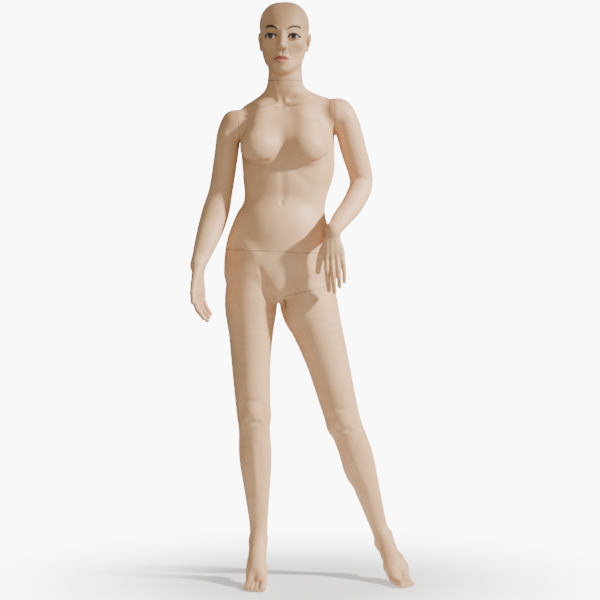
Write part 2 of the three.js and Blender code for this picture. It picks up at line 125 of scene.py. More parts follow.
LEFT_ARM = [
    (126, 4, 1422, 28, 34, 36),
    (138, 5, 1388, 37, 43, 45),
    (158, 17, 1312, 39, 39, 39),
    (184.5, 42, 1212, 35, 33, 34),
    (162, -8, 1146, 33, 31, 32),
    (122, -78, 1092, 28, 22, 23),
    (97.5, -128, 1056, 20, 15, 16),
]
RIGHT_ARM = [
    (-205, 4, 1388, 26, 34, 36),
    (-213, 4, 1350, 35, 42, 44),
    (-221, 7, 1285, 36, 39, 39),
    (-237, 18, 1184, 36, 35, 36),
    (-254, 8, 1112, 41, 36, 38),
    (-274.5, -28, 1040, 36, 30, 31),
    (-302, -84, 952, 22, 17, 19),
]


# ---- distance fields ----
def blend_low(a, b, soft):
    """The lower of two fields, rounded off where they meet."""
    h = np.clip(0.5 + 0.5 * (b - a) / soft, 0, 1)
    return a * h + b * (1 - h) - soft * h * (1 - h)


def blend_high(a, b, soft):
    return -blend_low(-a, -b, soft)


def smooth_rows(rows, per=5):
    """A Catmull-Rom curve through the rows."""
    p = np.array(rows, float)
    p = np.vstack([2 * p[0] - p[1], p, 2 * p[-1] - p[-2]])
    out = []
    for i in range(1, len(p) - 2):
        for t in np.arange(per) / per:
            a, b, c, d = p[i - 1 : i + 3]
            square = 2 * a - 5 * b + 4 * c - d
            cubic = 3 * b - a - 3 * c + d
            out.append(0.5 * (2 * b + (c - a) * t + square * t**2 + cubic * t**3))
    return np.vstack([out, p[-2]])


class Level:
    """A body with level sections. They are ellipses at power 2, and squarer above it."""

    def __init__(self, rows, power=2.25):
        self.rows = smooth_rows(rows, 20)
        self.power = power
        reach = self.rows[:, 3:].max()
        self.low = self.rows[:, :3].min(0) - (reach, reach, 0)
        self.high = self.rows[:, :3].max(0) + (reach, reach, 0)

    def __call__(self, p):
        cx, cy, half, front, back = (
            np.interp(p[:, 2], self.rows[:, 2], self.rows[:, k]) for k in (0, 1, 3, 4, 5)
        )
        u = p[:, 0] - cx
        v = p[:, 1] - cy
        depth = np.where(v < 0, front, back)
        r = (np.abs(u / half) ** self.power + np.abs(v / depth) ** self.power) ** (1 / self.power)
        length = np.hypot(u, v)
        side = np.where(r > 0.05, length * (1 - 1 / np.maximum(r, 0.05)), -np.minimum(half, depth))
        ends = np.maximum(p[:, 2] - self.high[2], self.low[2] - p[:, 2])
        return np.maximum(side, ends)


class Limb:
    """A body with sections square to a bent centre line, and rounded ends."""

    def __init__(self, rows, per=4):
        self.rows = smooth_rows(rows, per)
        reach = self.rows[:, 3:].max()
        self.low = self.rows[:, :3].min(0) - reach
        self.high = self.rows[:, :3].max(0) + reach

    def __call__(self, p):
        best = np.full(len(p), 1e3)
        back = np.array([0, 1.0, 0])
        for a, b in zip(self.rows[:-1], self.rows[1:]):
            along = b[:3] - a[:3]
            t = np.clip(((p - a[:3]) @ along) / (along @ along), 0, 1)
            row = a + t[:, None] * (b - a)
            unit = along / np.linalg.norm(along)
            across = np.cross(unit, back)
            across /= np.linalg.norm(across)
            deep = np.cross(across, unit)
            q = p - row[:, :3]
            u, v, w = q @ across, q @ deep, q @ unit
            depth = np.where(v < 0, row[:, 4], row[:, 5])
            end = np.minimum(row[:, 3], depth)
            r = np.sqrt((u / row[:, 3]) ** 2 + (v / depth) ** 2 + (w / end) ** 2)
            far = np.linalg.norm(q, axis=1)
            best = np.minimum(best, np.where(r > 0.05, far * (1 - 1 / np.maximum(r, 0.05)), -end))
        return best


class Ball:
    """An ellipsoid, turned by Euler angles if need be."""

    def __init__(self, centre, radii, turn=(0, 0, 0)):
        self.centre = np.array(centre, float)
        self.radii = np.array(radii, float)
        self.turn = np.array(Euler(turn).to_matrix())
        self.low = self.centre - max(radii)
        self.high = self.centre + max(radii)

    def __call__(self, p):
        q = (p - self.centre) @ self.turn
        r = np.sqrt(((q / self.radii) ** 2).sum(1))
        far = np.linalg.norm(q, axis=1)
        return np.where(r > 0.05, far * (1 - 1 / np.maximum(r, 0.05)), -self.radii.min())


class Placed:
    """A shape laid out in a frame of its own, mirrored in X if mirror is -1."""

    def __init__(self, shape, matrix, at, mirror):
        self.shape, self.matrix, self.at = shape, matrix, np.array(at, float)
        self.mirror = np.array([mirror, 1, 1])
        corners = np.array([[x, y, z] for x in (0, 1) for y in (0, 1) for z in (0, 1)])
        corners = (shape.low + corners * (shape.high - shape.low)) * self.mirror @ matrix.T + self.at
        self.low, self.high = corners.min(0), corners.max(0)

    def __call__(self, p):
        return self.shape((p - self.at) @ self.matrix * self.mirror)


class Cone:
    """A rounded bar through points, each with its own radius."""

    def __init__(self, points):
        self.points = np.array(points, float)
        reach = self.points[:, 3].max()
        self.low = self.points[:, :3].min(0) - reach
        self.high = self.points[:, :3].max(0) + reach

    def __call__(self, p):
        best = np.linalg.norm(p - self.points[0, :3], axis=1) - self.points[0, 3]
        for a, b in zip(self.points[:-1], self.points[1:]):
            along = b[:3] - a[:3]
            t = np.clip(((p - a[:3]) @ along) / (along @ along), 0, 1)
            row = a + t[:, None] * (b - a)
            best = np.minimum(best, np.linalg.norm(p - row[:, :3], axis=1) - row[:, 3])
        return best


FAR = 60.0  # a shape acts on points no further off than this, and beyond it a solid is simply empty
STROKE_STEPS = 4  # points laid along a stroke for each one given


class Solid:
    """Shapes joined, cut and stroked in order. Each only acts near itself."""

    def __init__(self):
        self.steps = []

    def add(self, shape, soft=8.0):
        self.steps.append(("add", shape, soft, shape.low, shape.high))
        return self

    def cut(self, shape, soft=4.0):
        self.steps.append(("cut", shape, soft, shape.low, shape.high))
        return self

    def stroke(self, points, radius, height):
        """Raises the skin along a line by height, or sinks it if height is below 0.

        The line is first laid on the skin as it is so far, with points added between the given ones.
        """
        points = np.array(points, float)
        spots = np.linspace(0, len(points) - 1, STROKE_STEPS * (len(points) - 1) + 1)
        points = np.stack([np.interp(spots, np.arange(len(points)), points[:, k]) for k in range(3)], 1)
        line = Cone([(*q, 0) for q in project(self, points, 12)])
        self.steps.append(("stroke", line, (radius, height), line.low, line.high))
        return self

    def join(self, other):
        self.steps.extend(other.steps)
        return self

    def __call__(self, p):
        value = np.full(len(p), FAR)
        for kind, shape, amount, low, high in self.steps:
            margin = FAR if kind != "stroke" else 3 * amount[0]
            near = np.all((p > low - margin) & (p < high + margin), axis=1)
            if not near.any():
                continue
            q = p[near]
            if kind == "add":
                value[near] = blend_low(value[near], shape(q), amount)
            elif kind == "cut":
                value[near] = blend_high(value[near], -shape(q), amount)
            else:
                radius, height = amount
                value[near] -= height * np.exp(-((shape(q) / radius) ** 2))
        return value


# ---- meshing ----
def project(field, p, rounds=2):
    """Moves points onto the field's zero surface."""
    step = 0.2
    for _ in range(rounds):
        here = field(p)
        slope = np.stack([(field(p + step * np.eye(3)[k]) - here) / step for k in range(3)], 1)
        size = np.maximum((slope**2).sum(1), 0.15)
        p = p - np.clip(here / size, -2.5, 2.5)[:, None] * slope
    return p


BLOCK = 4  # grid points along each side of a block
CHUNK = 300000  # grid points sampled at a time


def grid_points(low, spacing, counts):
    axes = [low[k] + spacing * np.arange(counts[k]) for k in range(3)]
    return np.stack(np.meshgrid(*axes, indexing="ij"), -1)


def grid_surface(field, low, high, spacing, level=0.0):
    """Samples the field block by block, finely only where the surface can be, and wraps it in quads."""
    low = np.array(low, float)
    side = BLOCK * spacing
    blocks = np.ceil((np.array(high) - low) / side).astype(int) + 1
    middles = grid_points(low + (side - spacing) / 2, side, blocks)
    rough = field(middles.reshape(-1, 3)).reshape(blocks)
    values = rough.repeat(BLOCK, 0).repeat(BLOCK, 1).repeat(BLOCK, 2)
    near = (np.abs(rough - level) < 1.7 * side).repeat(BLOCK, 0).repeat(BLOCK, 1).repeat(BLOCK, 2)
    points = grid_points(low, spacing, BLOCK * blocks)[near]
    chunks = np.array_split(points, len(points) // CHUNK + 1)
    values[near] = np.concatenate([field(chunk) for chunk in chunks])
    values = np.clip(values, -20, 20).astype(np.float32)
    grid = openvdb.FloatGrid(20.0)
    grid.copyFromArray(values)
    verts, quads = grid.convertToQuads(level)
    return low + verts.astype(float) * spacing, quads.astype(int)


def outward(verts, quads):
    a, b, c, d = (verts[quads[:, k]] for k in range(4))
    volume = (np.einsum("ij,ij->i", a, np.cross(b, c)) + np.einsum("ij,ij->i", a, np.cross(c, d))).sum()
    return quads if volume > 0 else quads[:, ::-1]


def keep_largest(verts, quads):
    """Drops the specks that a grid can leave."""
    label = np.arange(len(verts))
    for _ in range(200):
        low = label[quads].min(1)
        before = label.copy()
        for k in range(4):
            np.minimum.at(label, quads[:, k], low)
        label = label[label]
        if (before == label).all():
            break
    names, counts = np.unique(label, return_counts=True)
    keep = label == names[counts.argmax()]
    index = np.cumsum(keep) - 1
    return verts[keep], index[quads[keep[quads[:, 0]]]]


def refine(mesh, low, high):
    """Splits each face whose corners lie in a box."""
    bm = bmesh.new()
    bm.from_mesh(mesh)
    inside = lambda v: all(low[k] < v.co[k] < high[k] for k in range(3))
    edges = [e for e in bm.edges if inside(e.verts[0]) and inside(e.verts[1])]
    bmesh.ops.subdivide_edges(bm, edges=edges, cuts=1, use_grid_fill=True)
    bm.to_mesh(mesh)
    bm.free()


def coordinates(mesh):
    co = np.zeros(len(mesh.vertices) * 3)
    mesh.vertices.foreach_get("co", co)
    return co.reshape(-1, 3)


def set_coordinates(mesh, co):
    mesh.vertices.foreach_set("co", co.ravel())
    mesh.update()


def mesh_of(name, verts, quads):
    mesh = bpy.data.meshes.new(name)
    mesh.from_pydata(verts.tolist(), [], quads.tolist())
    mesh.update()
    return mesh


def link(name, data):
    made = bpy.data.objects.new(name, data)
    bpy.context.scene.collection.objects.link(made)
    return made


def skin(name, field, low, high, spacing, hollow=True, fine=()):
    """A piece's outer surface, and the inner one turned inside out if the piece is hollow."""
    spacing *= FINE
    verts, quads = keep_largest(*grid_surface(field, low, high, spacing))
    mesh = mesh_of(name, project(field, verts), outward(verts, quads))
    for box_low, box_high in fine:
        refine(mesh, box_low, box_high)
    set_coordinates(mesh, project(field, coordinates(mesh), 1))
    made = link(name, mesh)
    if hollow:
        inner, faces = keep_largest(*grid_surface(field, low, high, 2 * spacing, -WALL))
        lining = link(name + "_lining", mesh_of(name, inner, outward(inner, faces)[:, ::-1]))
        join_objects(made, lining)
    return made


def join_objects(target, other):
    bpy.ops.object.select_all(action="DESELECT")
    other.select_set(True)
    target.select_set(True)
    bpy.context.view_layer.objects.active = target
    bpy.ops.object.join()


def seam_matrix(name):
    at, normal = SEAMS[name]
    turn = Vector((0, 0, 1)).rotation_difference(Vector(normal).normalized())
    return Matrix.Translation(at) @ turn.to_matrix().to_4x4()


def cut_block(made, name, side, size=(900, 900), shift=(0, 0), reach=1600):
    """Takes away what lies beyond a seam (side 1) or before it (side -1)."""
    near = -SEAM_GAP / 2
    bm = bmesh.new()
    bmesh.ops.create_cube(bm, size=1)
    depth = reach - near
    scale = Matrix.Diagonal((size[0], size[1], depth, 1))
    place = Matrix.Translation((shift[0], shift[1], side * (near + depth / 2)))
    bmesh.ops.transform(bm, matrix=seam_matrix(name) @ place @ scale, verts=bm.verts)
    mesh = bpy.data.meshes.new("cutter")
    bm.to_mesh(mesh)
    bm.free()
    cutter = link("cutter", mesh)
    subtract(made, cutter)


def subtract(made, cutter):
    modifier = made.modifiers.new("cut", "BOOLEAN")
    modifier.object = cutter
    modifier.operation = "DIFFERENCE"
    modifier.solver = "MANIFOLD"
    bpy.context.view_layer.objects.active = made
    bpy.ops.object.modifier_apply(modifier=modifier.name)
    bpy.data.objects.remove(cutter)


SEAM_WIDTH = {"waist": 240, "left_leg": 150, "neck": 80}  # how far from its middle a seam runs


def mark_seams(made):
    """Marks the points on the rim of each seam, which the skin paint darkens with dust and with painted shade
    of the gap between the shells.
    """
    p = coordinates(made.data)
    rim = np.zeros(len(p))
    for name, (at, normal) in SEAMS.items():
        n = np.array(normal, float) / np.linalg.norm(normal)
        off = p - np.array(at, float)
        on_plane = np.abs(np.abs(off @ n) - SEAM_GAP / 2) < 0.04
        rim[on_plane & (np.linalg.norm(off, axis=1) < SEAM_WIDTH.get(name, 62))] = 1
    made.data.attributes.new("rim", "FLOAT", "POINT").data.foreach_set("value", rim.astype(np.float32))


def finish_piece(made, node, body):
    """From layout millimetres to metres in the part's frame, smooth shaded, riding on its body."""
    mark_seams(made)
    made.data.transform(Matrix.Scale(0.001, 4) @ Matrix.Translation(-Vector(ORIGIN)))
    made.data.shade_smooth()
    made.data.set_sharp_from_angle(angle=math.radians(50))
    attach(made, body)
    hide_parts(node)
    return made


# ---- the body ----
def trunk_field(rows=TRUNK):
    body = Solid().add(Level(rows), 1)
    for x, z in ((-122, 905), (6, 905)):
        body.add(Ball((x, 66, z), (69, 60, 72)), 26)  # buttocks
    for x in (-112, 26):
        body.add(Ball((x, 62, 1362), (50, 22, 66), (0.1, 0, 0.25 if x > 0 else -0.25)), 44)  # shoulder blades
    body.add(Ball((-57, -44, 1068), (92, 50, 78)), 30)  # belly
    body.add(Ball((-58, -36, 900), (52, 48, 54)), 24)  # mound
    for x, turn in ((-120, 0.16), (20, -0.16)):
        inner = 1 if x < 0 else -1
        slope = [(x + 10 * inner, -26, 1412, 20), (x + 4 * inner, -48, 1356, 38), (x, -62, 1318, 48)]
        body.add(Cone(slope), 44)  # from the collar bone down to the breast
        body.add(Ball((x, -66, 1302), (58, 46, 47), (0.1, 0, turn)), 15)
    body.add(Ball((-51, -34, 1322), (52, 44, 62)), 34)  # breastbone
    for x, z in ((-189, 1374), (110, 1409)):
        body.add(Ball((x, 4, z), (45, 46, 47)), 22)  # ends of the shoulders
    body.add(Cone([(-150, 22, 1421, 19), (-78, 20, 1458, 22)]), 26)
    body.add(Cone([(70, 22, 1443, 17), (-14, 20, 1470, 22)]), 26)
    return body


def trunk_detail(body):
    for bone in ([(-168, -40, 1412), (-120, -54, 1424), (-74, -42, 1434)],
                 [(66, -40, 1452), (14, -52, 1446), (-32, -42, 1436)]):
        body.stroke([(x, y, z + 14) for x, y, z in bone], 8, -4)  # hollow over the collar bone
        body.stroke(bone, 6, 4.6)
        body.stroke([(x, y, z - 11) for x, y, z in bone], 6, -4.5)
    body.stroke([(-53, -34, 1446), (-53, -46, 1428)], 8, -3)  # notch at the throat
    body.stroke([(-86, -34, 1520), (-66, -42, 1448)], 7, 2.2)  # neck muscles
    body.stroke([(-6, -34, 1520), (-42, -42, 1448)], 7, 2.2)
    body.stroke([(-52, -82, 1350), (-52, -84, 1262)], 14, -3)  # between the breasts
    for x, inner in ((-120, 1), (20, -1)):
        fold = [(x - 44 * inner, -60, 1282), (x - 14 * inner, -90, 1258), (x + 22 * inner, -90, 1262)]
        body.stroke(fold, 6, -3.4)  # fold under the breast
    body.stroke([(-51, -80, 1235), (-52, -74, 1160)], 12, -2.0)  # middle line
    body.stroke([(-128, -56, 1196), (-84, -76, 1236)], 13, -2.0)  # edge of the ribs
    body.stroke([(26, -56, 1196), (-18, -76, 1236)], 13, -2.0)
    body.stroke([(-54, -78, 1146), (-54, -78, 1138)], 5.5, -3.6)  # navel
    body.stroke([(-160, -56, 1022), (-134, -70, 990)], 16, 2.4)  # hip bones
    body.stroke([(46, -56, 1022), (18, -70, 990)], 16, 2.4)
    body.stroke([(-42, 92, 1400), (-44, 84, 1250), (-48, 74, 1130), (-57, 92, 1010)], 15, -4)  # spine
    body.stroke([(-57, 118, 960), (-58, 112, 870)], 11, -9)  # cleft
    body.stroke([(-116, -70, 946), (-92, -60, 886), (-76, -50, 856)], 7, -4)  # groin
    body.stroke([(10, -72, 930), (-22, -60, 886), (-46, -50, 856)], 7, -4)
    return body


def leg_field(rows, name, side):
    """One leg with its knee, calf and ankle. side is 1 if the big toe lies towards +X."""
    leg = Solid().add(Limb(rows, 4), 10)
    knee = np.array(KNEES[name], float)
    leg.add(Ball(knee + (-2, -35, 2), (23, 23, 28)), 10)  # kneecap
    leg.add(Ball(knee + (24 * side, -2, -14), (25, 34, 38)), 16)  # inner side of the knee
    leg.stroke([knee + (-18, -46, -30), knee + (16, -46, -30)], 7, -3.4)
    leg.stroke([knee + (-28, -34, -12), knee + (-25, -34, 20)], 7, -3)
    leg.stroke([knee + (24, -34, -12), knee + (21, -34, 20)], 7, -3)
    leg.stroke([knee + (-14, -44, 34), knee + (12, -44, 34)], 9, -2)
    below, calf = np.array(rows[5][:3], float), np.array(rows[6][:3], float)
    leg.add(Ball(below + (0, 26, -88) + (calf - below) * (0.8, 0.8, 0), (36, 34, 78)), 22)  # calf
    shin, ankle = np.array(rows[7][:3], float), np.array(rows[9][:3], float)
    leg.stroke([below + (0, -48, -50), shin + (0, -34, 0)], 9, 1.8)  # shin
    for x in (-15, 15):
        leg.add(Ball(ankle + (x, 10, 10 + (6 if x * side > 0 else 0)), (10, 12, 14)), 14)  # ankle bones
    return leg


# Ankle joint, turn about the vertical, 1 if the big toe lies towards +X, spare width on the outer side.
FEET = {
    "right": ((-125, 24, 128), -0.04, 1, -3),
    "left": ((255, 84, 130), 0.39, -1, 10),
}
TOES = [  # sideways towards the big toe, forward reach of the root and the tip, radius
    (22, 128, 170, 11.5),
    (5, 130, 169, 8.0),
    (-9, 127, 162, 7.6),
    (-20, 122, 153, 7.2),
    (-29, 114, 143, 6.6),
]


def foot_field(side):
    (ax, ay, az), turn, inner, spare = FEET[side]

    def at(across, forward, z):
        c, s = math.cos(turn), math.sin(turn)
        x, y = across * inner, -forward
        return np.array([ax + c * x - s * y, ay + s * x + c * y, z])

    foot = Solid()
    foot.add(Cone([(*at(-1, 2, az), 25), (*at(-1, 34, 88), 28), (*at(0, 74, 52), 26)]), 8)
    foot.add(Cone([(*at(10, 70, 50), 22), (*at(13, 108, 20), 18)]), 12)
    outer_edge = [
        (*at(-13 - spare, 44, 66), 21),
        (*at(-17 - spare, 74, 44), 20),
        (*at(-19 - spare / 2, 104, 17), 14),
    ]
    foot.add(Cone(outer_edge), 12)
    foot.add(Ball(at(-2 - spare / 2, -20, 104), (22, 27, 30)), 18)  # heel
    foot.add(Cone([(*at(0, -30, 170), 11), (*at(0, -34, 108), 14)]), 16)  # tendon
    for across, root, tip, radius in TOES:
        middle = (root + tip) / 2
        toe = [
            (*at(across, root - 8, radius + 7), radius),
            (*at(across, middle, radius + 4), radius * 0.92),
            (*at(across, tip, radius), radius),
        ]
        foot.add(Cone(toe), 5)
    for across, root, tip, radius in TOES:
        nail = at(across, tip + radius * 0.25, radius * 1.75)
        foot.add(Ball(nail, (radius * 0.62, radius * 0.7, radius * 0.3), (0.45, 0, turn)), 1.2)
    sole = Cone([(*at(0, 60, -400), 400), (*at(0, 180, -400), 400)])
    return foot.cut(sole, 3)


ARMPIT = 8  # the landmark of the trunk from which the shoulders rise
ARMS = {"left": LEFT_ARM, "right": RIGHT_ARM}


def arm_field(side):
    left = side == "left"
    rows = ARMS[side]
    arm = trunk_field(TRUNK[ARMPIT:]).add(Limb(rows, 5), 10)
    elbow = np.array(rows[3][:3], float)
    out = 1 if left else -1
    arm.add(Ball(elbow + (0, 16, -4), (22, 20, 22)), 14)
    arm.stroke([elbow + (-out * 18, -34, 6), elbow + (out * 14, -34, 0)], 8, -2)
    return arm


# ---- hands ----
# A left hand hangs down -Z from its wrist, back of the hand to -Y and thumb to -X; a right one is mirrored.
FINGERS = {  # points from the knuckle to the tip, with radii
    "index": [(-19, -3, -74, 9), (-19, -9, -112, 8), (-17, -6, -144, 7), (-15, 2, -174, 6)],
    "middle": [(-4, -5, -78, 9), (-2, -12, -118, 8), (0, -8, -150, 7), (2, 1, -180, 6)],
    "ring": [(11, -4, -76, 8.8), (14, -10, -112, 8), (16, -6, -140, 7.2), (17, 4, -164, 6)],
    "little": [(24, -1, -68, 8.4), (29, -6, -98, 7.6), (31, -2, -124, 6.8), (31, 6, -150, 5.8)],
    "thumb": [(-14, 3, -26, 12), (-31, 3, -58, 10.5), (-41, 3, -90, 9), (-46, 2, -120, 7)],
}
KNUCKLES = -74  # their height in the hand
PALM = [(0, 0, 10, 19, 15, 16), (0, 0, -12, 20, 14, 16), (-1, -2, -36, 27, 13, 16), (2, -4, -62, 32, 11, 14),
        (3, -4, -84, 30, 8, 11)]
HANDS = {  # mirror, turn, wrist, and how much the fingers curl into the palm
    "left": (1, Euler((0.1, -0.02, 0), "ZYX"), (96, -128, 1056), 0),
    "right": (-1, Euler((-0.2, -0.05, -math.pi / 2 - 0.5), "ZYX"), (-301, -84, 956), 0.002),
}


def hand_root(side):
    """The palm, which blends into the forearm at the wrist."""
    mirror, turn, at, _ = HANDS[side]
    return Placed(Limb(PALM, 4), np.array(turn.to_matrix()), at, mirror)


def hand_field(side):
    mirror, turn, at, curl = HANDS[side]
    matrix = np.array(turn.to_matrix())
    fingers = {}
    for name, points in FINGERS.items():
        past = [max(KNUCKLES - z, 0) ** 2 * curl for _, _, z, _ in points]
        fingers[name] = [(x, y + c, z + 0.5 * c, r) for (x, y, z, r), c in zip(points, past)]

    def place(p):
        return matrix @ (np.array(p[:3], float) * (mirror, 1, 1)) + at

    hand = Solid().add(Limb(ARMS[side], 5), 10)
    hand.add(hand_root(side), 14)
    for name, points in fingers.items():
        hand.add(Cone([(*place(p), p[3]) for p in points]), 6 if name == "thumb" else 3.2)
    for name, points in fingers.items():
        x, y, z, r = points[-1]
        nail = Ball((x, y - r * 0.72, z + 1), (r * 0.66, r * 0.28, r * 0.95))
        hand.add(Placed(nail, matrix, at, mirror), 0.9)
        if name != "thumb":
            hand.stroke([place((points[0][0], points[0][1] - 12, points[0][2] + 4))], 6, 1.6)
    for a, b in (("index", "middle"), ("middle", "ring"), ("ring", "little")):
        top = (np.array(fingers[a][0][:3]) + fingers[b][0][:3]) / 2
        hand.stroke([place(top + (0, -12, -4)), place(top + (0, -12, 44))], 5, -1.1)  # between the knuckles
    return hand


# ---- head ----
HEAD_AT = np.array([-47.0, 0.0, 1640.0])
HEAD_TURN = np.array(Euler((0, 0.02, -0.06)).to_matrix())
EYE = 34.0  # from the middle of the face to the middle of an eye
EYE_LEVEL = -11.0
MOUTH = -77.0  # height of the line between the lips


def face_point(x, y, z):
    return HEAD_TURN @ np.array([x, y, z], float) + HEAD_AT


def head_field():
    at = face_point
    head = Solid().add(Ball(at(0, 12, 17), (72, 93, 84)), 1)
    for side in (-1, 1):
        head.add(Ball(at(side * 18 - 2, 12, 39), (55, 78, 61)), 12)  # sides of the crown
    head.add(Ball(at(0, -26, -32), (59, 64, 78)), 22)
    head.add(Ball(at(0, -62, -90), (29, 32, 24)), 18)  # chin
    for side in (-1, 1):
        jaw = [(*at(side * 54, -2, -36), 12), (*at(side * 40, -34, -76), 13), (*at(side * 13, -68, -98), 12)]
        head.add(Cone(jaw), 18)
        head.add(Ball(at(side * 42, -60, -30), (19, 20, 15)), 20)  # cheekbone
        head.stroke([at(side * 54, -46, -50), at(side * 40, -66, -66)], 14, -1.5)  # hollow of the cheek
        head.stroke([at(side * 66, -44, 14), at(side * 62, -52, -4)], 14, -2)  # temple
        head.cut(Ball(at(side * EYE, -99, EYE_LEVEL + 3), (22, 17, 14)), 9)  # eye socket
        head.add(Ball(at(side * EYE * 0.97, -76, EYE_LEVEL), (17, 14, 14)), 3)  # eyeball
        ridge = [at(side * 14, -94, 11), at(side * 34, -92, 18), at(side * 54, -76, 12)]
        head.stroke(ridge, 8, 3.6)  # over the eye
        corners = [(side * 18, -90, EYE_LEVEL - 1), (side * 27, -93, EYE_LEVEL + 8.5),
                   (side * 38, -92, EYE_LEVEL + 9), (side * 52, -81, EYE_LEVEL + 2)]
        head.stroke([at(*c) for c in corners], 2.6, 2.6)  # upper lid
        head.stroke([at(x, y, z + 6.5) for x, y, z in corners], 2.6, -2.0)
        under = [corners[0], (side * 28, -91, EYE_LEVEL - 8), (side * 40, -90, EYE_LEVEL - 7.5), corners[3]]
        head.stroke([at(*c) for c in under], 2.0, 1.6)
        head.stroke([at(x, y, z - 5) for x, y, z in under[1:3]], 4, -1.2)
        rim = [(68, -2, -2), (75, 10, 6), (77, 18, -6), (73, 13, -23), (68, 3, -35)]
        head.add(Ball(at(side * 70, 8, -14), (6, 15, 26), (0.15, 0, side * 0.35)), 4)
        head.add(Cone([(*at(side * x, y, z), 4) for x, y, z in rim]), 3)
        head.cut(Ball(at(side * 79, 6, -12), (6.5, 8.5, 15)), 3)
        head.add(Ball(at(side * 69, 0, -38), (5, 7, 8)), 3)  # lobe
    head.add(Cone([(*at(0, -85, 4), 7), (*at(0, -91, -18), 8), (*at(0, -97, -38), 9.5)]), 9)  # nose
    for side in (-1, 1):
        head.add(Ball(at(side * 11.5, -89, -42), (7.5, 10, 7.5)), 5)
        head.cut(Ball(at(side * 7, -96, -51), (3.4, 5, 3)), 1.5)
        head.stroke([at(side * 15, -90, -40), at(side * 16, -86, -48)], 3, -1.6)
        head.stroke([at(side * 17, -88, -46), at(side * 26, -79, -68)], 5, -1.8)
    head.stroke([at(0, -90, -54), at(0, -90, -62)], 3.4, -2.0)  # groove over the lips
    upper = [(-23, -80, -76), (-12, -88, -71), (-4, -91, -68.5), (0, -91, -70)]
    upper += [(4, -91, -68.5), (12, -88, -71), (23, -80, -76)]
    lower = [(-20, -81, -80), (-8, -89, -85), (0, -90, -86), (8, -89, -85), (20, -81, -80)]
    head.stroke([at(*p) for p in upper], 5.4, 3.4)
    head.stroke([at(*p) for p in lower], 6.2, 4.2)
    head.stroke([at(-22, -82, -77), at(0, -92, MOUTH), at(22, -82, -77)], 2.0, -3.0)
    head.stroke([at(-9, -82, -96), at(9, -82, -96)], 6, -2.6)
    head.add(Ball(at(0, -70, -104), (16, 17, 12)), 12)
    return head


def neck_field():
    return Level([(-46, 14, 1430, 44, 30, 44), (-45, 6, 1480, 51, 44, 50), (-44, 3, 1530, 48, 46, 50),
                  (-45, 8, 1600, 47, 46, 54)], 2.0)


# ---- pieces ----
REGIONS = {  # lowest and highest corner, and the mesh spacing
    "head": ((-142, -132, 1480), (50, 124, 1760), 2.0),
    "torso": ((-262, -160, 980), (180, 140, 1525), 3.2),
    "hips": ((-262, -180, -12), (150, 150, 1012), 3.4),
    "left_leg": ((-64, -150, -12), (380, 170, 940), 3.2),
    "left_arm": ((60, -175, 1020), (240, 110, 1475), 2.6),
    "right_arm": ((-365, -140, 910), (-130, 90, 1440), 2.6),
    "left_hand": ((26, -190, 846), (156, -90, 1090), 1.6),
    "right_hand": ((-350, -190, 770), (-262, -20, 990), 1.6),
}


SPECK_SHARE = 0.02  # a loose bit with less than this share of a piece's points is a speck


def drop_specks(made):
    """Drops the slivers that a cut can leave."""
    bm = bmesh.new()
    bm.from_mesh(made.data)
    seen = set()
    total = len(bm.verts)
    for start in list(bm.verts):
        if start in seen:
            continue
        group, stack = [], [start]
        seen.add(start)
        while stack:
            v = stack.pop()
            group.append(v)
            for e in v.link_edges:
                other = e.other_vert(v)
                if other not in seen:
                    seen.add(other)
                    stack.append(other)
        if len(group) < SPECK_SHARE * total:
            bmesh.ops.delete(bm, geom=group, context="VERTS")
    bm.to_mesh(made.data)
    bm.free()


def make_head(body):
    low, high, spacing = REGIONS["head"]
    face = (tuple(face_point(-62, -116, -90)), tuple(face_point(62, -60, 26)))
    made = skin("head", body, low, high, spacing, fine=[face])
    cut_block(made, "neck", -1)
    drop_specks(made)
    paint_face(made)
    return finish_piece(made, "head_shell", "head")


SHOULDER_BLOCK = (290, 290)  # from below the armpit to above the shoulder
WRIST_BLOCK = (170, 170)  # wider than a wrist
HAND_BLOCK = (220, 220)  # wider than what a hand's field has of the forearm


def make_torso(upper):
    low, high, spacing = REGIONS["torso"]
    body = Solid().join(upper)
    for rows in ARMS.values():
        body.add(Limb(rows[:3], 5), 10)
    made = skin("torso", body, low, high, spacing)
    cut_block(made, "neck", 1)
    cut_block(made, "waist", -1)
    for side in ARMS:
        cut_block(made, f"{side}_shoulder", 1, size=SHOULDER_BLOCK, reach=160)
    drop_specks(made)
    return finish_piece(made, "torso_shell", "torso")


INNER_THIGH = 76  # from the middle of the left leg's seam to where it ends at the crotch
THIGH_BLOCK = (500, 900)  # wide enough to part a thigh from its neighbour
ROD_BORE = 8.9  # radius of the hole in the right heel that takes the base-rod socket
ROD_BORE_ENDS = (63, 139)  # heights of its mouth, a little below the heel, and of its top


def make_hips(trunk):
    """The hips with the right leg. Known fault: below the crotch this piece and the left leg overlap."""
    low, high, spacing = REGIONS["hips"]
    body = Solid().join(trunk).join(leg_field(RIGHT_LEG, "right", 1)).join(foot_field("right"))
    body.add(Limb(LEFT_LEG[:3]), 10)
    feet = ((-180, -150, -5), (-80, 80, 70))
    made = skin("hips_and_right_leg", body, low, high, spacing, fine=[feet])
    cut_block(made, "waist", 1)
    cut_block(made, "left_leg", 1, size=THIGH_BLOCK, shift=(INNER_THIGH - THIGH_BLOCK[0] / 2, 0))
    mouth, top = ROD_BORE_ENDS
    bpy.ops.mesh.primitive_cylinder_add(
        radius=ROD_BORE, depth=top - mouth, vertices=48, location=(*ORIGIN[:2], (mouth + top) / 2)
    )
    subtract(made, bpy.context.object)
    drop_specks(made)
    return finish_piece(made, "hips_and_right_leg_shell", "lower_body")


